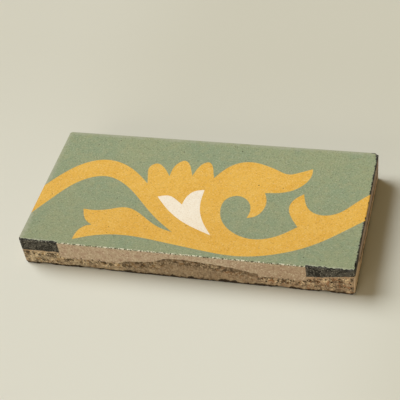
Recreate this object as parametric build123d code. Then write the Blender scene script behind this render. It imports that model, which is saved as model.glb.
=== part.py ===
from build123d import *
from build123d.topology import SkipClean
from math import atan, degrees
import os

# Border tile: one slab of pressed cement with a scroll inlaid flush in its face, lying face up.
# X runs along the border, Y across it towards the back and Z up from the underside, in millimetres.

# The slab
tile_length = 180.0
tile_width = 90.0
tile_thickness = 18.0
corner_radius = 1.5  # corners of the plan, worn round
edge_draft = 0.3  # the underside is this much smaller on each side, so that the slab leaves its mould
arris_radius = 0.5  # upper arris, worn round

# The inlay, drawn for one repeat of the border and fitted to the face
repeat_length = 180.0
repeat_width = 90.0
colour_depth = 0.3  # how far the outline of a colour is pressed into the face
bleed = 2.7  # how far the vine is drawn past both ends of the repeat

# The outline of the ochre scroll, as smooth stretches that meet at sharp points
vine_start = (-repeat_length / 2 - bleed, -7.0)
vine_foot = (-repeat_length / 2 - bleed, -29.3)
vine_end = (repeat_length / 2 + bleed, 14.3)
vine_end_foot = (repeat_length / 2 + bleed, -6.1)
armpit = (-31.9, 6.1)
first_valley = (-21.2, 13.3)
second_valley = (-8.5, 15.0)
third_valley = (4.0, 14.6)
leaf_tip = (56.5, 27.8)
leaf_notch = (34.2, 6.0)
curl_tip = (28.4, -14.2)
inlet_point = (56.1, -17.6)
horn_tip = (55.2, 7.5)
tail_foot = (-60.5, -41.2)
tail_notch = (-53.4, -29.2)
tail_tip = (-61.5, -17.8)
wedge_tip = (-8.6, -29.4)

vine_top = [vine_start, (-82.2, 9.0), (-73.4, 18.0), (-60.6, 22.9), (-45.9, 18.4), armpit]
left_lobe = [armpit, (-33.9, 14.0), (-34.1, 20.3), (-31.1, 22.9), (-26.4, 20.3), first_valley]
middle_lobe = [
    first_valley, (-20.8, 19.8), (-18.4, 25.2), (-15.7, 26.9), (-13.1, 25.2), (-10.3, 19.6), second_valley,
]
right_lobe = [
    second_valley, (-7.5, 19.8), (-4.9, 25.4), (-2.0, 27.1), (0.5, 24.8), (2.7, 18.5), third_valley,
]
leaf_top = [
    third_valley, (9.1, 23.2), (15.1, 28.2), (22.1, 29.8), (31.1, 27.6), (37.8, 24.6), (44.3, 22.1),
    (49.7, 24.1), leaf_tip,
]
leaf_under = [leaf_tip, (56.8, 23.9), (53.6, 14.6), (46.4, 8.4), leaf_notch]
curl = [leaf_notch, (36.2, 0.0), (35.6, -7.8), (32.6, -12.4), curl_tip]
spiral = [
    curl_tip, (29.1, -9.0), (26.6, -1.6), (20.3, 2.0), (14.8, -0.7), (13.0, -8.6), (16.4, -18.9),
    (24.8, -26.6), (34.7, -29.3), (45.9, -26.1), inlet_point,
]
horn = [inlet_point, (51.7, -11.2), (49.1, -3.4), (50.8, 2.7), horn_tip]
vine_right = [horn_tip, (57.2, 0.5), (60.5, -4.7), (67.3, -7.5), (75.6, -4.7), (82.6, 3.1), vine_end]
vine_bottom = [
    vine_end_foot, (81.0, -17.1), (67.5, -28.7), (51.3, -37.4), (28.8, -42.3), (9.0, -40.5), (-13.5, -37.0),
    (-33.3, -34.8), (-49.5, -36.9), tail_foot,
]
tail_lower = [tail_foot, (-60.1, -36.4), (-56.6, -30.6), tail_notch]
tail_upper = [tail_notch, (-57.1, -26.6), (-59.9, -22.4), tail_tip]
tail_top = [tail_tip, (-55.8, -18.1), (-47.7, -16.6), (-38.7, -14.0), (-28.8, -18.3), (-16.2, -26.9), wedge_tip]
vine_inside = [
    wedge_tip, (-18.0, -21.9), (-29.7, -10.3), (-45.0, 4.4), (-57.6, 9.3), (-70.7, 3.6), (-81.0, -9.9), vine_foot,
]
scroll = [
    vine_top, left_lobe, middle_lobe, right_lobe, leaf_top, leaf_under, curl, spiral, horn, vine_right,
    [vine_end, vine_end_foot], vine_bottom, tail_lower, tail_upper, tail_top, vine_inside, [vine_foot, vine_start],
]

# The outline of the cream heart inside the scroll
heart_notch = (-8.5, -8.2)
heart_left_corner = (-23.4, -3.6)
heart_tip = (12.3, -29.2)
heart_right_corner = (1.0, 4.5)
heart = [
    [heart_notch, (-12.6, -4.8), (-17.3, -2.2), heart_left_corner],
    [heart_left_corner, (-16.1, -12.1), (-4.9, -21.2), heart_tip],
    [heart_tip, (5.8, -19.8), (1.5, -8.2), heart_right_corner],
    [heart_right_corner, (-4.1, 2.9), (-7.4, -1.7), heart_notch],
]

# The broken front edge: place along the tile, lip below the face, depth of the hollow under the lip
hollow_stations = [
    (-40.0, 12.0, -0.4), (-31.5, 9.2, 0.9), (-22.5, 8.2, 1.4), (-15.5, 7.2, 1.7), (-11.2, 4.9, 2.2),
    (-6.5, 3.6, 2.4), (2.0, 4.0, 2.5), (14.0, 4.6, 2.4), (24.0, 5.6, 2.0), (31.5, 7.0, 1.6), (38.0, 8.4, 1.1),
    (41.0, 9.0, -0.4),
]
lip_drop = 0.6  # the underside of the lip falls this much towards the back of the hollow
hollow_foot = 1.2  # the hollow ends this far above the underside
foot_step = 0.3  # in a step this deep
clear_of_edge = 2.0  # how far the cutting shapes reach past the edge

# Chips: place along the arris, length and depth
right_arris_chips = [(-22.0, 4.5, 0.7), (-30.5, 3.5, 0.6), (-41.0, 5.0, 0.8)]
lower_front_chips = [(-77.5, 9.0, 0.9), (-52.0, 12.0, 1.1), (51.5, 11.0, 1.0), (74.5, 8.0, 1.2)]
corner_chip_length = 5.0
corner_chip_depth = 1.5


def slab():
    """The plain slab, full size at the face and drawn in towards the underside."""
    outline = RectangleRounded(tile_length, tile_width, corner_radius)
    draft = degrees(atan(edge_draft / tile_thickness))
    return extrude(Pos(0, 0, tile_thickness) * outline, amount=-tile_thickness, taper=draft)


def colour_field(stretches):
    """A colour of the ornament as a flat face: curves through the points of each stretch, closed to a loop."""
    across = tile_length / repeat_length
    deep = tile_width / repeat_width
    edges = []
    for stretch in stretches:
        points = [(x * across, y * deep) for x, y in stretch]
        edges.append(Line(points) if len(points) == 2 else Spline(*points))
    return make_face(edges)


def inlaid(body, field):
    """Press a colour into the face: cut it out and fill it again, which leaves its outline on one flush solid."""
    pocket = extrude(Pos(0, 0, tile_thickness - colour_depth) * field, amount=2 * colour_depth)
    filling = body & pocket
    with SkipClean():
        return (body - pocket) + filling


def front_hollow():
    """The hollow of the broken front edge: sections under a wandering lip that end above the underside."""
    front = -tile_width / 2
    foot_front = front + edge_draft
    sections = []
    for along, lip_below_face, depth in hollow_stations:
        lip = tile_thickness - lip_below_face
        section = Polyline(
            (front - clear_of_edge, lip), (front + depth, lip - lip_drop),
            (foot_front + min(depth, foot_step), hollow_foot), (front - clear_of_edge, hollow_foot), close=True,
        )
        sections.append(Plane(origin=(along, 0, 0), x_dir=(0, 1, 0), z_dir=(1, 0, 0)) * make_face(section))
    return loft(sections, ruled=True)


def chip(place, outward, length, depth):
    """A shell-shaped chip: a ball that reaches past an arris by its depth, over its length."""
    radius = (length**2 / 4 + depth**2) / (2 * depth)
    centre = Vector(place) + Vector(outward).normalized() * (radius - depth)
    return Pos(centre) * Sphere(radius)


def chips():
    """The chips of the right upper arris, the lower front arris and the right back corner."""
    right = tile_length / 2
    back = tile_width / 2
    balls = [chip((right, y, tile_thickness), (1, 0, 1), length, depth) for y, length, depth in right_arris_chips]
    for x, length, depth in lower_front_chips:
        balls.append(chip((x, edge_draft - back, 0), (0, -1, -1), length, depth))
    balls.append(chip((right, back, tile_thickness), (1, 1, 1), corner_chip_length, corner_chip_depth))
    return balls


border_tile = slab()
upper_arris = border_tile.faces().sort_by(Axis.Z)[-1].edges()
border_tile = fillet(upper_arris, arris_radius)
for stretches in (scroll, heart):
    border_tile = inlaid(border_tile, colour_field(stretches))
with SkipClean():
    border_tile = border_tile - front_hollow()
    for ball in chips():
        border_tile = border_tile - ball

os.makedirs("parts", exist_ok=True)
export_step(border_tile, "parts/border_tile.step")
print(f"border_tile: {border_tile.volume / 1000:.2f} cm3, {len(border_tile.faces())} faces")
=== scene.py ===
# %% [markdown]
# # A cement border tile, dressed
#
# The real tile is one slab of cement. Coloured cement is poured into a stencil, backed with sand and
# cement, and pressed hard in a steel frame, so the colours lie flush in a matte face and the sides show
# the layers behind it. The CAD model gives the slab its exact size and place. Here the slab gets a finer
# mesh, cut along the outline of its inlay, broken where the real one is broken, and cement finishes.

# %% Load the frame
import math
import random

import bmesh
import bpy
from mathutils import Matrix, Vector
from mathutils.geometry import interpolate_bezier


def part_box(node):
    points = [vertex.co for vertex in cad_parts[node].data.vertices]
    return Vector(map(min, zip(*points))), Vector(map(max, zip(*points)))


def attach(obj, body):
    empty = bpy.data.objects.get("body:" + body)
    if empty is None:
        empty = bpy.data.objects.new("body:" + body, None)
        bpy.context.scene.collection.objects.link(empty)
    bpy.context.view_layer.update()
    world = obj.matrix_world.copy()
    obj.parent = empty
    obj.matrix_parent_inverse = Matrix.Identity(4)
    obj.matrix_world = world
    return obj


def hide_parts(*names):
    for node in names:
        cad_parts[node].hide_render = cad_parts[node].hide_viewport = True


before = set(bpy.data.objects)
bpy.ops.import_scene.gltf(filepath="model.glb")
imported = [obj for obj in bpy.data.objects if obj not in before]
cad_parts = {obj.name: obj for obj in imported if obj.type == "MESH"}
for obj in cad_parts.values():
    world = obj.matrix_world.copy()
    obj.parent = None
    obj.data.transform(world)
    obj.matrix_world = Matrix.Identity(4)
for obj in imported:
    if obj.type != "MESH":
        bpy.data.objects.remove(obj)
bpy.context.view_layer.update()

MM = 0.001
low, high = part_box("border_tile")
length, width, thickness = high - low
print("slab", [round(side / MM, 2) for side in (length, width, thickness)], "mm")

# %% [markdown]
# ## Selecting by place
#
# Blender's operators act on whatever is selected. By hand that is a click. In a script it is a question
# put to every vertex, edge or face: are you in the right place, do you point the right way? One helper asks
# that question and another takes up whole pieces, so that each step below reads as "pick these, then do that".

# %% Pick parts of a mesh, or whole pieces
X, Y, Z = range(3)


def pick(piece, kind, test):
    """Select the vertices, edges or faces of a piece in edit mode that pass a test, and nothing else."""
    bpy.ops.mesh.select_mode(type=kind)
    bpy.ops.mesh.select_all(action="DESELECT")
    shape = bmesh.from_edit_mesh(piece.data)
    parts = {"VERT": shape.verts, "EDGE": shape.edges, "FACE": shape.faces}[kind]
    chosen = [part for part in parts if test(part)]
    for part in chosen:
        part.select_set(True)
    bmesh.update_edit_mesh(piece.data)
    return len(chosen)


def runs_along(edge, axis, least):
    """True for an edge that runs along an axis and is at least this long."""
    step = edge.verts[1].co - edge.verts[0].co
    return abs(step[axis]) > max(least, 0.9 * step.length)


def take_up(*pieces):
    """Select these pieces and nothing else, and make the last of them active."""
    bpy.ops.object.select_all(action="DESELECT")
    for piece in pieces:
        piece.select_set(True)
    bpy.context.view_layer.objects.active = pieces[-1]


# %% [markdown]
# ## The blank
#
# The slab is a box that narrows a little towards its underside, so that it leaves the mould, with corners and
# an upper arris worn round. A cube does for that: it is sized in edit mode, its foot is drawn in, and two
# bevels round the corners and the arris. The top and the underside are taken away again for now, because
# the four sides need much finer faces than they do.

# %% A cube of the slab's size, drawn in at the foot
corner_radius = 1.5 * MM
edge_draft = 0.3 * MM
arris = 0.5 * MM

bpy.ops.object.select_all(action="DESELECT")
bpy.ops.mesh.primitive_cube_add(size=1, location=(0, 0, 0))
tile = bpy.context.object
tile.name = "pressed_tile"
bpy.ops.object.mode_set(mode="EDIT")
bpy.ops.transform.resize(value=(length, width, thickness))
bpy.ops.transform.translate(value=(0, 0, thickness / 2))
pick(tile, "FACE", lambda face: face.normal.z < -0.9)
bpy.ops.transform.resize(value=(1 - 2 * edge_draft / length, 1 - 2 * edge_draft / width, 1))

# %% Round the corners and the upper arris
hair = 0.01 * MM  # what lies closer than this counts as touching

pick(tile, "EDGE", lambda edge: runs_along(edge, Z, thickness / 2))
bpy.ops.mesh.bevel(offset=corner_radius, segments=4)
pick(tile, "EDGE", lambda edge: min(v.co.z for v in edge.verts) > thickness - hair)
bpy.ops.mesh.bevel(offset=arris, segments=2)
pick(tile, "FACE", lambda face: abs(face.normal.z) > 0.99)
bpy.ops.mesh.delete(type="ONLY_FACE")

# %% Cut the sides into small cells
cell = 0.62 * MM


def divide(piece, axis):
    """Cut the edges that run along an axis into cells, in two passes, as one pass makes 100 cuts at most."""
    longest = (length, width, thickness)[axis]
    parts = longest / cell
    first = max(1, round(math.sqrt(parts)))
    for count, least in ((first, longest / 2), (max(1, round(parts / first)), longest / first / 2)):
        pick(piece, "EDGE", lambda edge: runs_along(edge, axis, least))
        bpy.ops.mesh.subdivide(number_cuts=count - 1)


for axis in (X, Y, Z):
    divide(tile, axis)
bpy.ops.object.mode_set(mode="OBJECT")
print("sides", len(tile.data.polygons), "faces")

# %% [markdown]
# ## Rough sides
#
# The upper part of a pressed side is smooth, because fine cement lies behind the face. The sand backing below
# it is coarse and crumbles, most of all along the lower arris. Displace modifiers push the sides inwards with
# cloud textures, so nothing grows past the slab's size, and vertex groups say where and how much. The
# lower arris is lifted off the floor in the same way, in long waves and short bites.


# %% Weights and displacement
def smooth_step(start, end, value):
    """0 before start, 1 after end, and a soft rise between them."""
    share = min(1, max(0, (value - start) / (end - start)))
    return share * share * (3 - 2 * share)


def weigh(piece, name, weight):
    """A vertex group whose weights come from the place of each vertex."""
    group = piece.vertex_groups.new(name=name)
    for vertex in piece.data.vertices:
        amount = weight(vertex.co)
        if amount > 0:
            group.add([vertex.index], amount, "REPLACE")


def displace(piece, name, group, grain, depth, direction="NORMAL", level=1.0):
    """Push a piece by a cloud texture of this grain, inwards for a level of 1, and apply it."""
    clouds = bpy.data.textures.new(name, "CLOUDS")
    clouds.noise_scale = grain
    clouds.noise_depth = 2
    push = piece.modifiers.new(name, "DISPLACE")
    push.texture = clouds
    push.texture_coords = "LOCAL"
    push.direction = direction
    push.vertex_group = group
    push.strength = depth
    push.mid_level = level
    bpy.context.view_layer.objects.active = piece
    bpy.ops.object.modifier_apply(modifier=name)


# %% Roughen the backing and lift the lower arris
coarse_below = 5.5 * MM  # the backing is fully rough below this height
smooth_from = 11 * MM  # and the side is smooth above this one
foot_height = 4 * MM  # the lower arris crumbles up to here
sole_height = 1.4 * MM  # and is undercut up to here
flake_from, flake_to = -40 * MM, 40 * MM  # the flake lies between these places along the front


def backing_weight(place):
    """How rough a side is: full in the sandy backing, and little where the flake has left a clean break."""
    rough = 1 - smooth_step(coarse_below, smooth_from, place.z)
    beside_flake = max(flake_from - place.x, place.x - flake_to, place.y + 0.4 * width)
    from_end = length / 2 - abs(place.x)
    off_flake = 0.3 + 0.7 * smooth_step(0, 6 * MM, beside_flake)
    off_end = 0.4 + 0.6 * smooth_step(0, 5 * MM, from_end)
    return rough * off_flake * off_end


weigh(tile, "backing", backing_weight)
weigh(tile, "side", lambda place: 1 - smooth_step(thickness - 1.5 * MM, thickness - 0.6 * MM, place.z))
weigh(tile, "foot", lambda place: 1 - smooth_step(0, foot_height, place.z))
weigh(tile, "sole", lambda place: 1 - smooth_step(0, sole_height, place.z))
# Each push has a name, the group it works on, its grain and its depth
displace(tile, "lumps", "backing", 5 * MM, 0.8 * MM, level=0.65)
displace(tile, "grains", "backing", 1.4 * MM, 0.6 * MM, level=0.7)
displace(tile, "skin", "side", 2.2 * MM, 0.14 * MM)
displace(tile, "undercut", "sole", 4 * MM, 0.25 * MM)
displace(tile, "waves", "foot", 8 * MM, 2.0 * MM, direction="Z", level=0.66)
displace(tile, "bites", "foot", 2.6 * MM, 1.6 * MM, direction="Z", level=0.62)
print("foot", round(min(v.co.z for v in tile.data.vertices) / MM, 2), "mm at its lowest")

# %% Set the foot down
bpy.ops.object.mode_set(mode="EDIT")
sunk = pick(tile, "VERT", lambda vertex: vertex.co.z < 0)
bpy.ops.transform.resize(value=(1, 1, 0), center_override=(0, 0, 0))
print("foot", sunk, "vertices stand on the floor")

# %% [markdown]
# ## The underside
#
# The bedding side is never seen once the tile is laid. It is flat, a little sandy, and it ends in the crumbled
# lower arris. A grid is laid a few millimetres inside the foot, turned to face down and bridged to it, so
# the crumbled edge slopes down to the flat bed.

# %% A sandy bed, bridged to the foot
bed_inset = 4 * MM
bed_cell = 2 * MM

bpy.ops.mesh.select_all(action="DESELECT")
bpy.ops.mesh.primitive_grid_add(
    x_subdivisions=round(length / bed_cell), y_subdivisions=round(width / bed_cell), size=1, location=(0, 0, 0)
)
bpy.ops.transform.resize(value=(length - 2 * bed_inset, width - 2 * bed_inset, 1))
bpy.ops.mesh.flip_normals()
pick(tile, "EDGE", lambda edge: edge.is_boundary and edge.verts[0].co.z < thickness / 2)
bpy.ops.mesh.bridge_edge_loops()
bpy.ops.object.mode_set(mode="OBJECT")


def on_bed(place):
    """1 on the bed inside the crumbled edge, 0 elsewhere."""
    inside = min(length / 2 - abs(place.x), width / 2 - abs(place.y))
    return 1.0 if place.z < hair and inside > bed_inset / 2 else 0.0


weigh(tile, "bed", on_bed)
displace(tile, "bed_sand", "bed", 5 * MM, 0.5 * MM, direction="Z", level=0.0)
print("with the bed", len(tile.data.polygons), "faces")

# %% [markdown]
# ## The inlay
#
# While the colours are poured, a divider keeps them apart: thin brass strips, bent by hand and soldered where
# they meet in points. Such a strip bends like a natural spline, so each stretch below is a few points with a
# spline through them. As an extruded Bezier curve it is a standing strip, as in the workshop, and the
# Intersect operator cuts the face along it. Cut edges stay crisp at any distance, which an image
# would not, and the face stays flush.

# %% The stretches of the divider, in millimetres on the face
bleed = 2.7
vine_reach = 90.0 + bleed  # the vine is drawn just past both ends of the tile
vine_start = (-vine_reach, -7.0)
vine_foot = (-vine_reach, -29.3)
vine_end = (vine_reach, 14.3)
vine_end_foot = (vine_reach, -6.1)
armpit = (-31.9, 6.1)
first_valley = (-21.2, 13.3)
second_valley = (-8.5, 15.0)
third_valley = (4.0, 14.6)
leaf_tip = (56.5, 27.8)
leaf_notch = (34.2, 6.0)
curl_tip = (28.4, -14.2)
inlet_point = (56.1, -17.6)
horn_tip = (55.2, 7.5)
tail_foot = (-60.5, -41.2)
tail_notch = (-53.4, -29.2)
tail_tip = (-61.5, -17.8)
wedge_tip = (-8.6, -29.4)

vine_top = [vine_start, (-82.2, 9.0), (-73.4, 18.0), (-60.6, 22.9), (-45.9, 18.4), armpit]
left_lobe = [armpit, (-33.9, 14.0), (-34.1, 20.3), (-31.1, 22.9), (-26.4, 20.3), first_valley]
middle_lobe = [
    first_valley, (-20.8, 19.8), (-18.4, 25.2), (-15.7, 26.9), (-13.1, 25.2), (-10.3, 19.6), second_valley,
]
right_lobe = [
    second_valley, (-7.5, 19.8), (-4.9, 25.4), (-2.0, 27.1), (0.5, 24.8), (2.7, 18.5), third_valley,
]
leaf_top = [
    third_valley, (9.1, 23.2), (15.1, 28.2), (22.1, 29.8), (31.1, 27.6), (37.8, 24.6), (44.3, 22.1),
    (49.7, 24.1), leaf_tip,
]
leaf_under = [leaf_tip, (56.8, 23.9), (53.6, 14.6), (46.4, 8.4), leaf_notch]
curl = [leaf_notch, (36.2, 0.0), (35.6, -7.8), (32.6, -12.4), curl_tip]
spiral = [
    curl_tip, (29.1, -9.0), (26.6, -1.6), (20.3, 2.0), (14.8, -0.7), (13.0, -8.6), (16.4, -18.9),
    (24.8, -26.6), (34.7, -29.3), (45.9, -26.1), inlet_point,
]
horn = [inlet_point, (51.7, -11.2), (49.1, -3.4), (50.8, 2.7), horn_tip]
vine_right = [horn_tip, (57.2, 0.5), (60.5, -4.7), (67.3, -7.5), (75.6, -4.7), (82.6, 3.1), vine_end]
vine_bottom = [
    vine_end_foot, (81.0, -17.1), (67.5, -28.7), (51.3, -37.4), (28.8, -42.3), (9.0, -40.5), (-13.5, -37.0),
    (-33.3, -34.8), (-49.5, -36.9), tail_foot,
]
tail_lower = [tail_foot, (-60.1, -36.4), (-56.6, -30.6), tail_notch]
tail_upper = [tail_notch, (-57.1, -26.6), (-59.9, -22.4), tail_tip]
tail_top = [tail_tip, (-55.8, -18.1), (-47.7, -16.6), (-38.7, -14.0), (-28.8, -18.3), (-16.2, -26.9), wedge_tip]
vine_inside = [
    wedge_tip, (-18.0, -21.9), (-29.7, -10.3), (-45.0, 4.4), (-57.6, 9.3), (-70.7, 3.6), (-81.0, -9.9),
    vine_foot,
]
scroll = [
    vine_top, left_lobe, middle_lobe, right_lobe, leaf_top, leaf_under, curl, spiral, horn, vine_right,
    [vine_end, vine_end_foot], vine_bottom, tail_lower, tail_upper, tail_top, vine_inside,
    [vine_foot, vine_start],
]

heart_notch = (-8.5, -8.2)
heart_left_corner = (-23.4, -3.6)
heart_tip = (12.3, -29.2)
heart_right_corner = (1.0, 4.5)
heart = [
    [heart_notch, (-12.6, -4.8), (-17.3, -2.2), heart_left_corner],
    [heart_left_corner, (-16.1, -12.1), (-4.9, -21.2), heart_tip],
    [heart_tip, (5.8, -19.8), (1.5, -8.2), heart_right_corner],
    [heart_right_corner, (-4.1, 2.9), (-7.4, -1.7), heart_notch],
]


# %% Bend a strip through its points
settling_sweeps = 40


def strip_slopes(points):
    """The slopes of a thin strip at the points it is bent through, settled one by one until none moves."""
    gaps = [(after - before).length for before, after in zip(points, points[1:])]
    slopes = [Vector((0, 0, 0)) for point in points]
    for sweep in range(settling_sweeps):
        for i, point in enumerate(points):
            pull = Vector((0, 0, 0))
            hold = 0.0
            for j, gap in ((i - 1, gaps[i - 1]), (i + 1, gaps[min(i, len(gaps) - 1)])):
                if 0 <= j < len(points):
                    chord = (points[j] - point) * (j - i)
                    pull += (3 * chord / gap - slopes[j]) / gap
                    hold += 2 / gap
            slopes[i] = pull / hold
    return slopes, gaps


def bent_strip(stretch):
    """The spans of one stretch, each as two ends and the two handles between them."""
    points = [Vector((x * MM, y * MM, thickness)) for x, y in stretch]
    slopes, gaps = strip_slopes(points)
    spans = []
    for i, gap in enumerate(gaps):
        start, end = points[i], points[i + 1]
        spans.append((start, start + slopes[i] * gap / 3, end - slopes[i + 1] * gap / 3, end))
    return spans


# %% Stand the strips up as curves
strip_height = 0.4 * MM
strip_steps = 9


def divider(name, stretches):
    """A closed outline of standing strips, as one mesh."""
    curve = bpy.data.curves.new(name, "CURVE")
    curve.dimensions = "3D"
    curve.extrude = strip_height
    curve.resolution_u = strip_steps
    spans = [span for stretch in stretches for span in bent_strip(stretch)]
    line = curve.splines.new("BEZIER")
    line.bezier_points.add(len(spans) - 1)
    line.use_cyclic_u = True
    for i, knot in enumerate(line.bezier_points):
        knot.handle_left_type = knot.handle_right_type = "FREE"
        knot.co = spans[i][0]
        knot.handle_right = spans[i][1]
        knot.handle_left = spans[i - 1][2]
    strips = bpy.data.objects.new(name, curve)
    bpy.context.scene.collection.objects.link(strips)
    take_up(strips)
    bpy.ops.object.convert(target="MESH")
    return bpy.context.object


def outline_points(stretches):
    """The same outline as a closed ring of points on the face."""
    ring = []
    for stretch in stretches:
        for start, out, back, end in bent_strip(stretch):
            ring += interpolate_bezier(start, out, back, end, strip_steps + 1)[:-1]
    return ring


scroll_ring = outline_points(scroll)
heart_ring = outline_points(heart)
strips = [divider("scroll_divider", scroll), divider("heart_divider", heart)]
print("divider", len(scroll_ring) + len(heart_ring), "steps")

# %% A slot for each finish, and one for the divider
finish_names = ("edge_layers", "green_ground", "ochre_scroll", "cream_heart", "broken_cement", "pit_dirt_and_shade")
finishes = [bpy.data.materials.new(name) for name in finish_names]
edge_layers, green_ground, ochre_scroll, cream_heart, broken_cement, pit_dirt_and_shade = finishes
for finish in finishes:
    tile.data.materials.append(finish)
divider_slot = bpy.data.materials.new("divider")
for strip in strips:
    strip.data.materials.append(divider_slot)
print("slots", [slot.name for slot in tile.data.materials])

# %% Close the top and stand the strips in it
take_up(tile)
bpy.ops.object.mode_set(mode="EDIT")
pick(tile, "EDGE", lambda edge: edge.is_boundary)
bpy.ops.mesh.edge_face_add()
bpy.ops.object.mode_set(mode="OBJECT")
take_up(*strips, tile)
bpy.ops.object.join()
divider_index = tile.data.materials.find(divider_slot.name)
print("with the strips", len(tile.data.polygons), "faces")


# %% Cut the face along the strips
def on_strip(face):
    """True for a face of the divider."""
    return face.material_index == divider_index


def open_edges(piece):
    """How many edges of a piece in edit mode do not lie between two faces."""
    return sum(1 for edge in bmesh.from_edit_mesh(piece.data).edges if not edge.is_manifold)


bpy.ops.object.mode_set(mode="EDIT")
pick(tile, "FACE", on_strip)
bpy.ops.mesh.intersect(mode="SELECT_UNSELECT", separate_mode="NONE", solver="EXACT")
pick(tile, "FACE", on_strip)
bpy.ops.mesh.delete(type="FACE")
pick(tile, "FACE", lambda face: len(face.verts) > 4)
bpy.ops.mesh.quads_convert_to_tris()
print("cut", len(bmesh.from_edit_mesh(tile.data).faces), "faces,", open_edges(tile), "open edges")

# %% Give each colour its faces
overhang = -0.3  # a face whose normal points further down than this shows broken backing


def encloses(ring, place):
    """True where a place on the face lies inside a ring of points."""
    crossings = 0
    for before, after in zip(ring, ring[1:] + ring[:1]):
        if (before.y > place.y) != (after.y > place.y):
            across = before.x + (after.x - before.x) * (place.y - before.y) / (after.y - before.y)
            crossings += across > place.x
    return crossings % 2 == 1


def colour_at(place):
    """The finish of the face at a place."""
    if encloses(heart_ring, place):
        return cream_heart
    return ochre_scroll if encloses(scroll_ring, place) else green_ground


shape = bmesh.from_edit_mesh(tile.data)
shape.normal_update()
tally = {finish.name: 0 for finish in finishes}
for face in shape.faces:
    centre = face.calc_center_median()
    finish = edge_layers
    if centre.z > thickness - arris:
        finish = colour_at(centre)
    elif face.normal.z < overhang:
        finish = broken_cement
    face.material_index = finishes.index(finish)
    tally[finish.name] += 1
bmesh.update_edit_mesh(tile.data)
bpy.ops.object.mode_set(mode="OBJECT")
print(tally)

# %% [markdown]
# ## Where it is broken
#
# A long flake has come off the front edge, under a wandering lip, and the arrises are chipped. A break
# is what is missing, so each one is made as a tool of its own and taken away with a Boolean modifier. The
# flake's tool is a row of four-cornered sections bridged into one body, as deep as the CAD model's hollow.
# Chips are balls. All the tools are roughened before they cut, and they hand their material to the faces
# that they leave behind, so broken cement looks broken.


# %% Refine a tool, and cut with it
def refine(piece, limit):
    """Halve the edges that are longer than a limit until none is left."""
    while pick(piece, "EDGE", lambda edge: edge.calc_length() > limit):
        bpy.ops.mesh.subdivide(number_cuts=1)


def carve(piece, tool):
    """Take a tool's body away from a piece, and the tool with it."""
    cut = piece.modifiers.new("carve", "BOOLEAN")
    cut.operation = "DIFFERENCE"
    cut.solver = "EXACT"
    cut.material_mode = "TRANSFER"
    cut.object = tool
    bpy.context.view_layer.objects.active = piece
    bpy.ops.object.modifier_apply(modifier=cut.name)
    bpy.data.objects.remove(tool)


def start_tool(name, finish):
    """An empty mesh of one finish, open in edit mode."""
    bpy.ops.object.select_all(action="DESELECT")
    bpy.ops.mesh.primitive_plane_add(size=1, location=(0, 0, 0))
    tool = bpy.context.object
    tool.name = name
    tool.data.materials.append(finish)
    bpy.ops.object.mode_set(mode="EDIT")
    bpy.ops.mesh.delete(type="VERT")
    return tool


# %% The flake: sections under a lip
front = -width / 2
outside = front - 2 * MM  # the tool reaches out of the slab to here
lip_drop = 0.6 * MM  # the underside of the lip falls this much towards the back of the hollow
flake_foot = 1.2 * MM  # the hollow ends this far above the underside
foot_step = 0.3 * MM  # in a step this deep
flake_cell = 1.1 * MM
# Place along the tile, lip below the face and depth under the lip, in millimetres
flake_stations = [
    (-40.0, 12.0, -0.4), (-31.5, 9.2, 0.9), (-22.5, 8.2, 1.4), (-15.5, 7.2, 1.7), (-11.2, 4.9, 2.2),
    (-6.5, 3.6, 2.4), (2.0, 4.0, 2.5), (14.0, 4.6, 2.4), (24.0, 5.6, 2.0), (31.5, 7.0, 1.6), (38.0, 8.4, 1.1),
    (41.0, 9.0, -0.4),
]

flake = start_tool("flake", broken_cement)
for along, below, depth in flake_stations:
    lip = thickness - below * MM
    foot_front = front + edge_draft + min(depth * MM, foot_step)
    bpy.ops.mesh.select_all(action="DESELECT")
    bpy.ops.mesh.primitive_circle_add(vertices=4, location=(0, 0, 0))
    corners = [v for v in bmesh.from_edit_mesh(flake.data).verts if v.select]
    section = [
        (outside, lip), (front + depth * MM, lip - lip_drop), (foot_front, flake_foot), (outside, flake_foot),
    ]
    for corner, (y, z) in zip(corners, section):
        corner.co = (along * MM, y, z)
bpy.ops.mesh.select_all(action="SELECT")
bpy.ops.mesh.bridge_edge_loops()
pick(flake, "EDGE", lambda edge: edge.is_boundary)
bpy.ops.mesh.fill_holes(sides=0)
refine(flake, flake_cell)
bpy.ops.mesh.select_all(action="SELECT")
bpy.ops.mesh.normals_make_consistent(inside=False)
bpy.ops.object.mode_set(mode="OBJECT")
displace(flake, "flake_waves", "", 7 * MM, 0.8 * MM, level=0.5)
displace(flake, "flake_grains", "", 1.6 * MM, 0.5 * MM, level=0.5)
print("flake tool", len(flake.data.polygons), "faces")
carve(tile, flake)
print("tile after the flake", len(tile.data.polygons), "faces")

# %% The chips: rough balls
half_length = length / 2
half_width = width / 2
right, back, top = half_length / MM, half_width / MM, thickness / MM
front_face, front_foot = front / MM, (edge_draft - half_width) / MM
ball_radius = 1.4  # in depths of the chip


def chip(place, outward, along, span, depth):
    """A ball that bites this deep into an arris, stretched along it to this span, in millimetres."""
    radius = ball_radius * depth * MM
    centre = Vector(place) * MM + Vector(outward).normalized() * (radius - depth * MM)
    stretch = [span * MM / (2 * radius) if axis == along else 1 for axis in (X, Y, Z)]
    bpy.ops.mesh.primitive_ico_sphere_add(subdivisions=3, radius=radius, location=centre)
    bpy.ops.transform.resize(value=stretch, center_override=centre)


def break_away(tool, grain, depth):
    """Roughen a tool of balls, and take it away from the tile."""
    bpy.ops.object.mode_set(mode="OBJECT")
    displace(tool, "ball_grains", "", grain, depth, level=0.5)
    carve(tile, tool)


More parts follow.
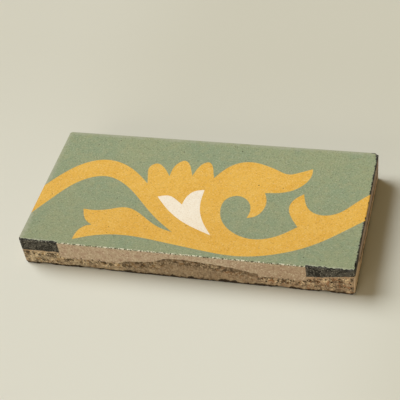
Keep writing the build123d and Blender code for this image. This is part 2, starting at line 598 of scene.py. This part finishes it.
# %% Chips that show sandy backing, along the lower arris
foot_chips = start_tool("foot_chips", broken_cement)
for x, span, depth in ((-77.5, 9.0, 0.9), (-52.0, 12.0, 1.1), (51.5, 11.0, 1.0), (74.5, 8.0, 1.2)):
    chip((x, front_foot, 0), (0, -1, -1), X, span, depth)
for end, span, depth in ((-1, 5.0, 1.7), (1, 4.6, 1.6)):
    chip((end * right, front_foot, 0), (end, -1, -1), X, span, depth)
break_away(foot_chips, 1.6 * MM, 0.6 * MM)
print("lower arris", len(tile.data.polygons), "faces")

# %% Chips that show the dark cement behind the face
arris_chips = start_tool("arris_chips", edge_layers)
for y, span, depth in (
    (-22.0, 4.5, 0.7), (-30.5, 3.5, 0.6), (-41.0, 5.0, 0.8), (-7.0, 2.5, 0.45), (4.5, 2.0, 0.4),
    (19.0, 3.0, 0.45), (27.0, 1.8, 0.35), (33.0, 2.4, 0.45),
):
    chip((right, y, top), (1, 0, 1), Y, span, depth)
for x, span, depth in (
    (-87.3, 3.4, 0.6), (-83.6, 2.2, 0.35), (-79.6, 3.8, 0.5), (-75.4, 1.8, 0.3), (-72.5, 2.6, 0.4),
    (67.4, 1.9, 0.35), (70.3, 2.4, 0.45), (74.0, 2.6, 0.35), (77.8, 3.4, 0.5), (82.4, 2.2, 0.4),
    (86.0, 3.4, 0.6),
):
    chip((x, front_face, top), (0, -1, 1), X, span, depth)
break_away(arris_chips, 1.1 * MM, 0.7 * MM)
print("upper arris", len(tile.data.polygons), "faces")

# %% Worn corners of the face
corner_chips = start_tool("corner_chips", edge_layers)
for end, side, span, depth in ((1, 1, 5.0, 1.5), (-1, 1, 3.0, 0.7), (-1, -1, 4.4, 1.5), (1, -1, 2.6, 0.7)):
    chip((end * right, side * back, top), (end, side, 1), X, span, depth)
break_away(corner_chips, 1.1 * MM, 0.7 * MM)
print("corners", len(tile.data.polygons), "faces")

# %% The pits: a dotted arris, pinholes in the face and holes in the front
random.seed(18)
pits = start_tool("pits", pit_dirt_and_shade)


def pit(place, radius):
    """A small rough hole round a place."""
    bpy.ops.mesh.primitive_ico_sphere_add(subdivisions=2, radius=radius * MM, location=Vector(place) * MM)


def pit_row(start, end, height, inward, above, radius, step):
    """Holes in a row along the front, in millimetres. The last four are ranges that each hole draws from."""
    x = start
    while x < end:
        place = (x, front_face + random.uniform(*inward), height + random.uniform(*above))
        pit(place, random.uniform(*radius))
        x += random.uniform(*step)


pit_row(-66, 64, top, inward=(-0.1, 0.15), above=(0, -0.5), radius=(0.2, 0.38), step=(1.8, 4.2))
for x, y in (
    (14.9, 38.1), (-69.3, 35.6), (67.5, 29.3), (43.2, 10.8), (29.7, 11.7), (-52.0, -2.7), (-18.0, 34.2),
):
    pit((x, y, top + 0.1), random.uniform(0.24, 0.4))
for i in range(18):
    pit((random.uniform(-86, 86), random.uniform(-41, 41), top + 0.12), random.uniform(0.2, 0.3))
for start, end, height in ((-86, -68, 7.6), (-64, -42, 6.2), (42, 65, 6.0), (67, 88, 8.6)):
    pit_row(start, end, height, inward=(0.1, 0.5), above=(-1.2, 1.2), radius=(0.3, 0.62), step=(1.6, 3.0))
for start, end, height in ((-87, -69, 3.8), (-62, -44, 2.6), (44, 62, 2.8), (66, 88, 4.6)):
    pit_row(start, end, height, inward=(0.1, 0.4), above=(-1.0, 1.0), radius=(0.3, 0.6), step=(2.4, 5.0))
break_away(pits, 0.7 * MM, 0.3 * MM)
print("tile after the pits", len(tile.data.polygons), "faces")


# %% Clear the slivers and folds that the cuts leave
def folded(face):
    """True for a face that lies back to back on another with the same corners."""
    return any(other != face and set(other.verts) == set(face.verts) for other in face.edges[0].link_faces)


sliver = 0.002 * MM  # corners closer than this become one

bpy.ops.object.mode_set(mode="EDIT")
bpy.ops.mesh.select_all(action="SELECT")
bpy.ops.mesh.remove_doubles(threshold=sliver)
folds = pick(tile, "FACE", folded)
bpy.ops.mesh.delete(type="FACE")
print("cleared", folds, "folds,", open_edges(tile), "open edges left")
bpy.ops.object.mode_set(mode="OBJECT")

# %% [markdown]
# ## Shading
#
# Worn cement is soft where it is worn and sharp where it broke. Smooth shading by angle does that, with one
# exception: the face is flat right up to its edge, and its large triangles would show streaks if their corners
# leaned with the arris. So the edges of the face are marked sharp first.

# %% Smooth the sides, keep the face flat
face_slots = [finishes.index(finish) for finish in (green_ground, ochre_scroll, cream_heart)]
upright = 0.999  # the normal of the flat face points up at least this much
sharp_from = math.radians(32)


def rims_face(edge):
    """True for an edge between the flat face and anything that is not flat."""
    flat = [face.normal.z > upright and face.material_index in face_slots for face in edge.link_faces]
    return any(flat) and not all(flat)


bpy.ops.object.mode_set(mode="EDIT")
marked = pick(tile, "EDGE", rims_face)
bpy.ops.mesh.mark_sharp()
bpy.ops.object.mode_set(mode="OBJECT")
take_up(tile)
bpy.ops.object.shade_smooth_by_angle(angle=sharp_from)
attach(tile, "root")
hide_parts("border_tile")
print("sharp rim", marked, "edges")

# %% [markdown]
# ## Writing finishes as sums
#
# A material is a graph of small nodes, and a graph is hard to read as code. The class below wraps an output
# of a node, so that ordinary arithmetic on it adds Math nodes: `1 - mask` is a node, and so is `spots * 0.3`.
# Every other kind of node comes from one method, which sets the node up and then fills or links its sockets.


# %% A value that flows through a material
class Flow:
    """An output of a node in a material. Arithmetic on it adds Math nodes."""

    def __init__(self, tree, socket=None):
        self.tree = tree
        self.socket = socket

    def node(self, kind, settings, sockets, output=0):
        """Add a node: its settings first, then the values or links of its sockets."""
        made = self.tree.nodes.new(kind)
        for name, value in settings.items():
            setattr(made, name, value)
        self.fill(made, sockets)
        return Flow(self.tree, made.outputs[output])

    def fill(self, node, sockets):
        """Set a node's sockets to plain values, or link them to other values."""
        for name, value in sockets.items():
            if isinstance(value, Flow):
                self.tree.links.new(value.socket, node.inputs[name])
            else:
                node.inputs[name].default_value = value

    def maths(self, operation, *values):
        """Add a Math node."""
        return self.node("ShaderNodeMath", {"operation": operation}, dict(enumerate(values)))

    def __add__(self, other):
        return self.maths("ADD", self, other)

    def __radd__(self, other):
        return self.maths("ADD", other, self)

    def __sub__(self, other):
        return self.maths("SUBTRACT", self, other)

    def __rsub__(self, other):
        return self.maths("SUBTRACT", other, self)

    def __mul__(self, other):
        return self.maths("MULTIPLY", self, other)

    def __rmul__(self, other):
        return self.maths("MULTIPLY", other, self)

    def smallest(self, other):
        return self.maths("MINIMUM", self, other)

    def largest(self, other):
        return self.maths("MAXIMUM", self, other)

    def size(self):
        return self.maths("ABSOLUTE", self)

    def rise(self, start, end):
        """0 before start, 1 after end, and a soft rise between them. It falls where end is below start."""
        ends = {"From Min": start, "From Max": end}
        return self.node("ShaderNodeMapRange", {"interpolation_type": "SMOOTHSTEP"}, {"Value": self, **ends})

    def blend(self, base, over):
        """One colour over another, with this value as the share of the second."""
        return self.node("ShaderNodeMix", {"data_type": "RGBA"}, {0: self, 6: base, 7: over}, 2)


def paint(red, green, blue):
    """A colour as a picture gives it, from 0 to 255, in the linear values that a shader takes."""
    shares = [value / 255 for value in (red, green, blue)]
    return [share / 12.92 if share < 0.0405 else ((share + 0.055) / 1.055) ** 2.4 for share in shares] + [1.0]


# %% Places and patterns that the finishes share
patch_left = -68 * MM  # the dark patches of the front edge reach inwards to here
patch_right = 65 * MM


class Finish:
    """The node tree of one finish, with the places and patterns that it reads."""

    def __init__(self, material):
        material.use_nodes = True
        self.surface = material.node_tree.nodes["Principled BSDF"]
        self.start = Flow(material.node_tree)
        self.place = self.start.node("ShaderNodeTexCoord", {}, {}, "Object")
        self.x, self.y, self.z = (
            self.start.node("ShaderNodeSeparateXYZ", {}, {0: self.place}, axis) for axis in (X, Y, Z)
        )
        self.from_front = self.y + half_width

    def clouds(self, grain, detail=2.0, shift=0.0):
        """Soft noise of a grain in metres, from 0 to 1. A shift gives the same grain another pattern."""
        place = self.start.node("ShaderNodeVectorMath", {"operation": "ADD"}, {0: self.place, 1: [shift] * 3})
        sockets = {"Vector": place, "Scale": 1 / grain, "Detail": detail}
        return self.start.node("ShaderNodeTexNoise", {"noise_dimensions": "3D"}, sockets)

    def gravel(self, grain, feature="F1", output="Distance"):
        """Cells of a grain in metres: the distance to their middles or edges, or a random colour for each."""
        sockets = {"Vector": self.place, "Scale": 1 / grain}
        return self.start.node("ShaderNodeTexVoronoi", {"feature": feature}, sockets, output)

    def between_patches(self, wander):
        """1 along the middle of the tile, 0 past the limits of the two dark patches."""
        along = self.x + wander
        edge = 0.3 * MM
        past_left = along.rise(patch_left - edge, patch_left + edge)
        before_right = along.rise(patch_right + edge, patch_right - edge)
        return past_left * before_right

    def specks_glints_and_shade(self, colour, on_arris):
        """Pale specks of bare cement and painted glints, and dark specks of painted shade, in turn along an
        arris.
        """
        dots = self.clouds(0.8 * MM, 0.0, shift=2.7)
        colour = (on_arris * dots.rise(0.48, 0.58) * 0.8).blend(colour, paint(238, 230, 208))
        return (on_arris * dots.rise(0.40, 0.34) * 0.8).blend(colour, paint(84, 72, 56))

    def matte(self, colour, roughness, relief, height):
        """A matte cement surface with fine relief of this height."""
        normal = self.start.node("ShaderNodeBump", {}, {"Height": relief, "Distance": height, "Strength": 1.0})
        sockets = {"Base Color": colour, "Roughness": roughness, "Normal": normal, "Specular IOR Level": 0.3}
        self.start.fill(self.surface, sockets)


# %% [markdown]
# ## The dark cement behind the face
#
# Behind the face lies fine cement, stained nearly black by oil and wear at the corners and on the ends. It
# shows on the sides and wherever the face is chipped, so it is a function of its own that both finishes can
# use. It is mottled in greys, with pale specks of lime.


# %% Charcoal cement
def charcoal_colour(finish):
    """Fine cement stained nearly black: mottled greys with pale specks."""
    mottle = finish.clouds(2.4 * MM, 3, shift=6.0)
    fine = finish.clouds(0.8 * MM, 1, shift=9.0)
    colour = mottle.rise(0.36, 0.68).blend(paint(40, 38, 32), paint(86, 83, 74))
    colour = (fine.rise(0.58, 0.69) * 0.6).blend(colour, paint(160, 155, 140))
    return (fine.rise(0.40, 0.30) * 0.6).blend(colour, paint(30, 27, 22))


# %% [markdown]
# ## The face
#
# Pressed cement is matte and never one flat colour. It is cloudy over centimetres, because the pigment settles
# unevenly, and speckled over millimetres with pale lime and dark sand. The three colours share all of that,
# so one function makes them. The green ground reaches the rim, so it is also rubbed grey on the left and the
# back, dotted along the front arris with bare cement, painted glints and painted shade, and worn through to the
# dark cement at the front corners and along the right end.


# %% Inlaid cement
def worn_rim(finish, colour, fine):
    """Wear along the rim of the face."""
    to_left = finish.x + half_length
    to_back = half_width - finish.y
    to_right = half_length - finish.x
    rubbed = (to_left.smallest(to_back) + (fine - 0.5) * (6 * MM)).rise(3.5 * MM, 0.0)
    colour = (rubbed * 0.6).blend(colour, paint(172, 170, 148))
    middle = finish.between_patches((fine - 0.5) * (1.5 * MM))
    # Pale specks with painted glints, and dark specks of painted shade, along the front arris
    colour = finish.specks_glints_and_shade(colour, finish.from_front.rise(0.6 * MM, 0.35 * MM) * middle)
    ragged = finish.clouds(1.6 * MM, 2, shift=11.0) - 0.5
    at_corners = (finish.from_front + ragged * (2.6 * MM)).rise(1.0 * MM, 0.7 * MM) * (1 - middle)
    to_corner = to_right.largest(to_back * 0.6)
    in_corner = to_corner.rise(5 * MM, 1 * MM) * (0.8 * MM)
    at_right = (to_right - in_corner + ragged * (2.2 * MM)).rise(0.9 * MM, 0.6 * MM)
    at_back = (to_back + ragged * (1.0 * MM)).rise(1.0 * MM, 0.6 * MM) * to_right.rise(4.5 * MM, 3.5 * MM)
    bare = at_corners.largest(at_right).largest(at_back)
    pale_line = (finish.from_front + ragged * (2.6 * MM)).rise(1.9 * MM, 1.0 * MM) * (1 - middle)
    colour = (pale_line * 0.45).blend(colour, paint(196, 196, 172))
    return bare.blend(colour, charcoal_colour(finish))


def inlaid_cement(material, plain, cool, warm, dark_speck, pale_speck, at_rim=False):
    """A finish of pressed coloured cement: cloudy, speckled, and worn along the rim where it reaches that."""
    finish = Finish(material)
    broad = finish.clouds(22 * MM, 3)
    fine = finish.clouds(3.2 * MM, 3, shift=0.3)
    sand = finish.clouds(0.75 * MM, 1, shift=0.7)
    lime = finish.clouds(0.9 * MM, 2, shift=1.9)
    colour = (broad.rise(0.35, 0.7) * 0.8).blend(plain, cool)
    colour = (fine.rise(0.38, 0.72) * 0.6).blend(colour, warm)
    colour = (sand.rise(0.53, 0.72) * 0.5).blend(colour, dark_speck)
    colour = (lime.rise(0.52, 0.70) * 0.42).blend(colour, pale_speck)
    colour = (finish.y.rise(25 * MM, -45 * MM) * 0.12).blend(colour, dark_speck)
    at_left_end = (finish.x + half_length).rise(0.5 * MM, 0.2 * MM) * finish.y.rise(25 * MM, 5 * MM)
    colour = (at_left_end * 0.6).blend(colour, paint(96, 76, 46))
    if at_rim:
        colour = worn_rim(finish, colour, fine)
    roughness = 0.7 + 0.2 * fine
    finish.matte(colour, roughness, fine * 0.5 + sand * 0.5, 0.12 * MM)


inlaid_cement(
    green_ground,
    plain=paint(147, 155, 118), cool=paint(137, 151, 119), warm=paint(156, 158, 120),
    dark_speck=paint(98, 100, 76), pale_speck=paint(186, 187, 162),
    at_rim=True,
)
inlaid_cement(
    ochre_scroll,
    plain=paint(228, 177, 72), cool=paint(223, 168, 60), warm=paint(232, 186, 90),
    dark_speck=paint(180, 128, 48), pale_speck=paint(240, 210, 144),
)
inlaid_cement(
    cream_heart,
    plain=paint(243, 230, 208), cool=paint(239, 223, 198), warm=paint(246, 236, 218),
    dark_speck=paint(220, 200, 170), pale_speck=paint(252, 246, 234),
)
print("face finishes", [material.name for material in (green_ground, ochre_scroll, cream_heart)])

# %% [markdown]
# ## The sides and the breaks
#
# The sides show how the tile was made. The fine cement behind the face is dark at the corners and on the
# ends, and worn back to bare beige along the middle of the front. Under it lies the sandy backing: grains of
# sand in brown cement, with painted shade in the gaps where grains have fallen out. The layers follow height
# and place, with wandering limits, and a painted contact shadow runs along the foot.


# %% Sandy backing
def backing_colour(finish, rough):
    """Sandy backing: brown cement with grains of several colours, and painted shade in its gaps and hollows
    where it is rough.
    """
    grit = finish.gravel(1.2 * MM, output="Color")
    hue = finish.start.node("ShaderNodeSeparateColor", {}, {0: grit}, 0)
    tint = finish.start.node("ShaderNodeSeparateColor", {}, {0: grit}, 1)
    gap = finish.gravel(1.2 * MM, "DISTANCE_TO_EDGE")
    broad = finish.clouds(8 * MM, 3, shift=4.0)
    fine = finish.clouds(1.0 * MM, 2, shift=5.0)
    pits = finish.clouds(2.2 * MM, 2, shift=7.0)
    to_right = finish.x.rise(-60 * MM, 70 * MM)
    cement = to_right.blend(paint(184, 166, 135), paint(186, 157, 123))
    colour = broad.rise(0.36, 0.66).blend(cement, paint(166, 143, 114))
    colour = (fine.rise(0.54, 0.70) * 0.55).blend(colour, paint(214, 196, 164))
    colour = (fine.rise(0.46, 0.32) * 0.55).blend(colour, paint(124, 101, 76))
    brown_grain = to_right.blend(paint(158, 126, 80), paint(150, 104, 68))
    grain = hue.rise(0.62, 0.72).blend(brown_grain, paint(222, 198, 158))
    colour = (rough * (hue - 0.5).size().rise(0.10, 0.22) * tint.rise(0.3, 0.6) * 0.85).blend(colour, grain)
    # Painted shade in the gaps between grains and in the hollows where grains have fallen out
    gaps = gap.rise(0.20, 0.06) * pits.rise(0.42, 0.54)
    hollows = pits.rise(0.56, 0.64)
    return (rough * gaps.largest(hollows) * 0.85).blend(colour, paint(56, 42, 27))


def foot_contact_shadow(finish, colour):
    """A painted contact shadow: a dark line along the foot of every side."""
    wander = finish.clouds(3 * MM, 2, shift=12.0) - 0.5
    # Painted contact shadow, up to a wandering line near the floor
    stained = (finish.z + wander * (3.4 * MM)).rise(1.6 * MM, 0.9 * MM)
    return (stained * 0.95).blend(colour, paint(40, 30, 19))


# %% Layers of the sides
def worn_end(finish, colour, drift, mottle):
    """The right end: pale backing under a dark seam and cement rubbed bare, but dark near the front."""
    at_end = finish.x.rise(half_length - 1.2 * MM, half_length - 0.7 * MM)
    rubbed = at_end * finish.y.rise(-36 * MM, -24 * MM)
    height = finish.z + drift * (2.5 * MM)
    bare = mottle.rise(0.36, 0.64).blend(paint(174, 148, 130), paint(208, 184, 164))
    colour = (rubbed * height.rise(16.8 * MM, 16.2 * MM) * 0.8).blend(colour, bare)
    colour = (rubbed * height.rise(9.0 * MM, 8.4 * MM) * 0.85).blend(colour, paint(92, 68, 48))
    pale_top = 12.6 * MM - rubbed * (6.4 * MM)
    return (at_end * (height - pale_top).rise(0.3 * MM, -0.3 * MM) * 0.8).blend(colour, paint(230, 200, 164))


def layered_sides(material):
    """The layers of the sides, from the face down: charcoal or beige cement, then sandy backing."""
    finish = Finish(material)
    drift = finish.clouds(6 * MM, 3, shift=2.0) - 0.5
    fine = finish.clouds(1.0 * MM, 2, shift=3.0)
    mottle = finish.clouds(3.0 * MM, 3, shift=6.0)
    in_front = finish.from_front.rise(1.6 * MM, 1.0 * MM)
    bare = in_front * finish.between_patches(drift * (1.0 * MM))
    beige = mottle.rise(0.36, 0.64).blend(paint(182, 157, 133), paint(194, 175, 148))
    beige = (finish.x.rise(10 * MM, 55 * MM) * 0.45).blend(beige, paint(166, 138, 108))
    beige = (fine.rise(0.54, 0.70) * 0.65).blend(beige, paint(222, 208, 182))
    beige = (fine.rise(0.46, 0.32) * 0.65).blend(beige, paint(146, 118, 96))
    # Pale specks with painted glints, and dark specks of painted shade, along the bare front arris
    beige = finish.specks_glints_and_shade(beige, bare * finish.z.rise(thickness - 0.7 * MM, thickness - 0.45 * MM))
    cement = bare.blend(charcoal_colour(finish), beige)
    # The cement ends and the backing begins at this limit, which climbs towards the right end
    climb = finish.x.rise(patch_right, half_length) * (3.0 * MM)
    limit = 10.4 * MM + climb - bare * (3.6 * MM) + drift * (2.2 * MM)
    below = finish.z - limit
    rough = (below.rise(-4.5 * MM, -2.5 * MM) * 0.65 + 0.35 + (1 - bare) * 0.4).smallest(1.0)
    colour = below.rise(0.3 * MM, -0.3 * MM).blend(cement, backing_colour(finish, rough))
    line = below.rise(-1.1 * MM, -0.5 * MM) * below.rise(0.2 * MM, -0.2 * MM) * (1 - bare)
    colour = (line * 0.6).blend(colour, paint(196, 168, 136))
    # The foot of the sides gets a painted contact shadow
    colour = foot_contact_shadow(finish, worn_end(finish, colour, drift, mottle))
    finish.matte(colour, 0.8 + 0.15 * fine, fine + mottle * 0.6, 0.25 * MM)


# %% Broken cement, and dirt and painted shade in the pits
def crumbled_cement(material):
    """Broken cement and the sandy underside: loose, with painted shade, under the flake's lip, smooth towards
    its foot.
    """
    finish = Finish(material)
    fine = finish.clouds(1.0 * MM, 3, shift=8.0)
    # The lip climbs from the left in two steps and falls again to the right
    climb = finish.x.rise(-34 * MM, -15 * MM) * (2.0 * MM) + finish.x.rise(-15.5 * MM, -7.5 * MM) * (3.8 * MM)
    lip = 8.6 * MM + climb - finish.x.rise(4 * MM, 44 * MM) * (5.2 * MM)
    drop = lip - finish.z + (fine - 0.5) * (4 * MM)
    loose = finish.x.rise(38 * MM, 20 * MM)
    # Under the lip the backing is rougher, so it holds more of the painted shade in its gaps
    under_lip = drop.rise(7.4 * MM, 4.6 * MM) * (0.35 + 0.65 * loose)
    colour = backing_colour(finish, under_lip * 0.65 + 0.3)
    # Painted shade: a darker line just under the lip, where its overhang would shade the hollow, and the whole
    # break a little darker, most on the left
    shade = drop.rise(4.2 * MM, 2.8 * MM) * (0.45 - 0.27 * loose) + 0.1 + 0.14 * loose
    colour = shade.blend(colour, paint(66, 50, 34))
    # The foot of the break gets the same painted contact shadow
    finish.matte(foot_contact_shadow(finish, colour), 0.85 + 0.1 * fine, fine, 0.25 * MM)


def pit_shade_and_dirt(material):
    """Dirt in the pits, with painted shade in their hollows."""
    finish = Finish(material)
    fine = finish.clouds(0.8 * MM, 2, shift=13.0)
    # Dark pits: dirt, and painted shade where the hollows would be dark
    colour = fine.rise(0.4, 0.7).blend(paint(48, 38, 26), paint(92, 76, 54))
    finish.matte(colour, 0.9 + 0.05 * fine, fine, 0.1 * MM)


layered_sides(edge_layers)
crumbled_cement(broken_cement)
pit_shade_and_dirt(pit_dirt_and_shade)
print("side finishes", edge_layers.name, broken_cement.name, pit_dirt_and_shade.name)

# %% [markdown]
# ## Floor, light and camera
#
# The tile lies on a pale, slightly warm floor, painted a little darker towards the back and the right as
# falloff of the light. One large soft light stands to its left, slightly behind it and halfway up, so a soft
# shadow falls to the right and a faint one lies in front. A low warm light fills the front edge, and a dim warm
# sky fills the rest. The camera stands in front, a little to the right, and looks down over the front edge with
# a long lens.

# %% The floor
bpy.ops.object.select_all(action="DESELECT")
bpy.ops.mesh.primitive_plane_add(size=6, location=(0, 0, 0))
floor = bpy.context.object
floor.name = "pale_floor"
floor_paint = bpy.data.materials.new("floor_paint")
floor.data.materials.append(floor_paint)
plaster = Finish(floor_paint)
# Painted falloff of the light: darker towards the back, less so at the far left, and darker towards the right
painted_falloff = plaster.y.rise(-60 * MM, 160 * MM) * (0.6 + 0.4 * plaster.x.rise(-140 * MM, -20 * MM))
near_and_far = painted_falloff.blend(paint(217, 214, 200), paint(203, 199, 182))
floor_colour = (plaster.x.rise(60 * MM, 160 * MM) * 0.7).blend(near_and_far, paint(200, 196, 178))
plaster.matte(floor_colour, 0.95, plaster.clouds(3 * MM), 0.02 * MM)
print("floor", floor.name)

# %% The lights
world = bpy.data.worlds.new("dim_sky")
bpy.context.scene.world = world
world.use_nodes = True
sky = world.node_tree.nodes["Background"]
sky.inputs["Color"].default_value = (1.0, 0.80, 0.45, 1.0)
sky.inputs["Strength"].default_value = 0.235


def soft_light(name, turn, rise, spread, level, colour):
    """A soft light from far away: its turn from the left, rise and spread in degrees, its level and colour."""
    turn, rise = math.radians(turn), math.radians(rise)
    towards = Vector((-math.cos(turn) * math.cos(rise), -math.sin(turn) * math.cos(rise), math.sin(rise)))
    bpy.ops.object.light_add(type="SUN", location=towards)
    light = bpy.context.object
    light.name = name
    light.data.angle = math.radians(spread)
    light.data.energy = level * math.pi
    light.data.color = colour
    light.rotation_euler = (-towards).to_track_quat("-Z", "Y").to_euler()


soft_light("key_light", turn=-14, rise=45, spread=42, level=1.13, colour=(0.88, 0.935, 1.0))
soft_light("front_fill", turn=72, rise=6, spread=50, level=0.50, colour=(1.0, 0.95, 0.88))

# %% The camera
turn, rise, roll = (math.radians(angle) for angle in (19.78, 42.26, -8.84))
distance = 645.6 * MM
aside, lift = 2.5 * MM, -10.73 * MM
picture_width = 400
focal_pixels = 1173.8

backward = Vector((math.sin(turn) * math.cos(rise), -math.cos(turn) * math.cos(rise), math.sin(rise)))
level = Vector((math.cos(turn), math.sin(turn), 0))
upward = backward.cross(level)
sideways = level * math.cos(roll) + upward * math.sin(roll)
overhead = upward * math.cos(roll) - level * math.sin(roll)
bpy.ops.object.camera_add(location=backward * distance - sideways * aside - overhead * lift)
camera = bpy.context.object
camera.rotation_euler = Matrix((sideways, overhead, backward)).transposed().to_euler()
camera.data.sensor_width = 36
camera.data.lens = focal_pixels / picture_width * camera.data.sensor_width
camera.data.clip_start = 0.01
bpy.context.scene.camera = camera
bpy.context.scene.view_settings.view_transform = "Standard"
print("camera", [round(value, 3) for value in camera.location], "lens", round(camera.data.lens, 1), "mm")
